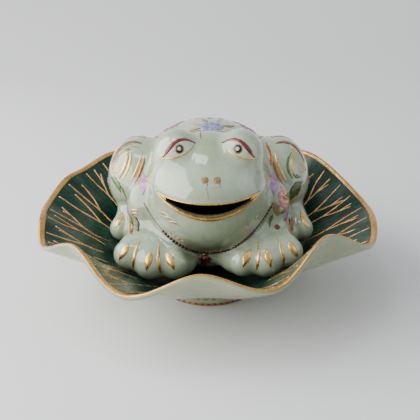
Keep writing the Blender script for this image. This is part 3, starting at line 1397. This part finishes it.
def forked_veins():
    """Y-shaped veins all round the leaf, each a little different: points as azimuth and station."""
    draw = np.random.default_rng(7)
    veins = []
    for step in range(360 // VEIN_SPACING):
        azimuth = VEIN_SPACING * step + draw.uniform(-1.5, 1.5)
        start = draw.uniform(0.30, 0.50)
        fork = draw.uniform(0.58, 0.74)
        lean = draw.uniform(-2.2, 2.2)
        low, high = draw.uniform(1.6, 3.2, 2)
        at_fork = (azimuth + lean * 0.6, fork)
        trunk = [(azimuth, start), (azimuth + lean, (start + fork) / 2), at_fork]
        veins.append(trunk + [(azimuth + low * 0.7, (fork + 0.97) / 2), (azimuth + low, 0.965)])
        top = draw.uniform(0.86, 0.965)
        veins.append([at_fork, (azimuth - high * 0.8, (fork + top) / 2), (azimuth - high, top)])
        if draw.random() < 0.6:
            end = fork + 0.8 * (0.96 - fork)
            veins.append([(azimuth - high * 0.75, (fork + top) / 2 - 0.02), (azimuth - high * 1.7, end)])
    return veins


def paint_veins():
    veins = Paint()
    scale = 95.0  # millimetres for each unit of station, so that the curve is evenly sampled
    for i, marks in enumerate(forked_veins()):
        flat = [(azimuth * 1.6, station * scale) for azimuth, station in marks]
        way = smooth_path(flat, 1.5)
        azimuth, station = way[:, 0] / 1.6, way[:, 1] / scale
        path = leaf_top(azimuth, station)
        facing = leaf_facing(azimuth, station)
        wobble = 1 + 0.22 * np.sin(np.arange(len(path)) * 0.9 + i)
        veins.add(*ribbon(path, facing, spread((0.35, 0.75, 0.70, 0.55), len(path)) * wobble, 0.24, 0.35))
    veins.piece("leaf_vein_gilding", TAN_GOLD, "dish", "gilding")


def ring_radius(z):
    """Radius of the outside of the foot ring at a height."""
    outside = RING_PROFILE[-4:]
    return np.interp(z, [height for _, height in outside], [radius for radius, _ in outside])


def ring_face(angle, z):
    """A point on the outside of the foot ring, and the normal there."""
    out = np.array([math.cos(angle), math.sin(angle), 0.0])
    return out * ring_radius(z) + np.array([0, 0, z]), out


def paint_foot_ring():
    band = Paint()
    section = ((0.9, -0.3), (1.0, 0.2), (1.8, 0.25), (2.6, 0.2), (2.7, -0.3))
    rings = [level_ring(ring_radius(z) + lift, z) for z, lift in section]
    band.add(*ring_mesh([np.array(r) for r in np.stack(rings, 1)], closed_path=True))
    band.piece("foot_ring_red_band", IRON_RED, "dish", "iron_red")
    dots, dashes = Paint(), Paint()
    for i in range(48):
        point, out = ring_face(2 * math.pi * i / 48, 2.0)
        disc(dots, point, out, np.array([-out[1], out[0], 0]), (1.0, 0.65), 0.6)
    for i in range(12):
        for step, size in ((-0.16, 1.7), (0.0, 2.2), (0.16, 1.7)):
            point, out = ring_face(2 * math.pi * (i - 0.1) / 12 + step, 5.6)
            disc(dashes, point, out, np.array([-out[1], out[0], 0]), (size, 0.55), 0.3)
    dots.piece("foot_ring_dots", BLACK, "dish", "painted_enamel")
    dashes.piece("foot_ring_dashes", LEAF_ENAMEL, "dish", "painted_enamel")


paint_veins()
paint_foot_ring()

# ---------------------------------------------------------------- studio

PALE = Graph("studio_paper")
PALE.finish(PALE.ramp(PALE.noise(3.0, 3), [(0.3, (0.79, 0.79, 0.795)), (0.7, (0.81, 0.81, 0.815))]), 0.7)


def build_sweep():
    """A floor that curves up into a backdrop."""
    profile = [(-1.6, 0.0), (0.5, 0.0)]
    profile += [(0.5 + 0.7 * math.sin(t), 0.7 - 0.7 * math.cos(t)) for t in np.linspace(0.1, math.pi / 2, 14)]
    profile.append((1.2, 2.4))
    vertices = [(x / MM, y / MM, z / MM) for x in (-2.2, 2.2) for y, z in profile]
    n = len(profile)
    faces = [[i, n + i, n + i + 1, i + 1] for i in range(n - 1)]
    sweep = make_object("studio_sweep", vertices, faces, [PALE.material])


def area_light(name, place, aim, size, power, colour=(1, 1, 1)):
    light = bpy.data.lights.new(name, "AREA")
    light.shape = "RECTANGLE"
    light.size, light.size_y = size
    light.energy = power
    light.color = colour
    lamp = bpy.data.objects.new(name, light)
    lamp.location = place
    lamp.rotation_euler = (Vector(aim) - Vector(place)).to_track_quat("-Z", "Y").to_euler()
    bpy.context.scene.collection.objects.link(lamp)
    return lamp


build_sweep()
area_light("panel_left", (-0.62, -0.20, 0.50), (0, -0.20, 0.40), (1.4, 0.95), 22.0, (1.0, 0.99, 0.97))
area_light("window_above", (-0.17, 0.05, 1.08), (-0.02, 0, 0.06), (0.19, 0.30), 1.15, (0.78, 0.95, 1.0))
area_light("fill_right", (0.95, -0.10, 0.45), (0, 0, 0.08), (0.7, 0.9), 1.6, (0.88, 0.95, 1.0))


def build_world():
    """Soft room light: brighter overhead and behind, dimmer from the camera's side and near the floor."""
    world = bpy.data.worlds.new("studio")
    bpy.context.scene.world = world
    world.use_nodes = True
    tree = world.node_tree
    direction = tree.nodes.new("ShaderNodeTexCoord").outputs["Generated"]
    split = tree.nodes.new("ShaderNodeSeparateXYZ")
    tree.links.new(direction, split.inputs[0])
    strengths = []
    for axis, stops in (("Z", [(0.0, 0.38), (0.7, 0.78)]), ("Y", [(-1.0, 0.60), (0.6, 1.25)])):
        spread_out = tree.nodes.new("ShaderNodeMapRange")
        spread_out.inputs["From Min"].default_value = stops[0][0]
        spread_out.inputs["From Max"].default_value = stops[1][0]
        spread_out.inputs["To Min"].default_value = stops[0][1]
        spread_out.inputs["To Max"].default_value = stops[1][1]
        tree.links.new(split.outputs[axis], spread_out.inputs["Value"])
        strengths.append(spread_out.outputs["Result"])
    product = tree.nodes.new("ShaderNodeMath")
    product.operation = "MULTIPLY"
    tree.links.new(strengths[0], product.inputs[0])
    tree.links.new(strengths[1], product.inputs[1])
    background = tree.nodes["Background"]
    background.inputs["Color"].default_value = (0.90, 0.92, 0.95, 1)
    tree.links.new(product.outputs[0], background.inputs["Strength"])


build_world()

CAMERA_DISTANCE = 1.0
CAMERA_PITCH = math.radians(25.4)
CAMERA_AIM_UP = 0.055
CAMERA_LENS = 111.43
CAMERA_SHIFT = (0.0036, 0.025)
camera = bpy.data.objects.new("camera", bpy.data.cameras.new("camera"))
camera.location = (
    0,
    -CAMERA_DISTANCE * math.cos(CAMERA_PITCH),
    CAMERA_AIM_UP + CAMERA_DISTANCE * math.sin(CAMERA_PITCH),
)
camera.rotation_euler = (math.pi / 2 - CAMERA_PITCH, 0, 0)
camera.data.sensor_width = 36
camera.data.lens = CAMERA_LENS
camera.data.shift_x, camera.data.shift_y = CAMERA_SHIFT
camera.data.clip_end = 20
bpy.context.scene.collection.objects.link(camera)
bpy.context.scene.camera = camera
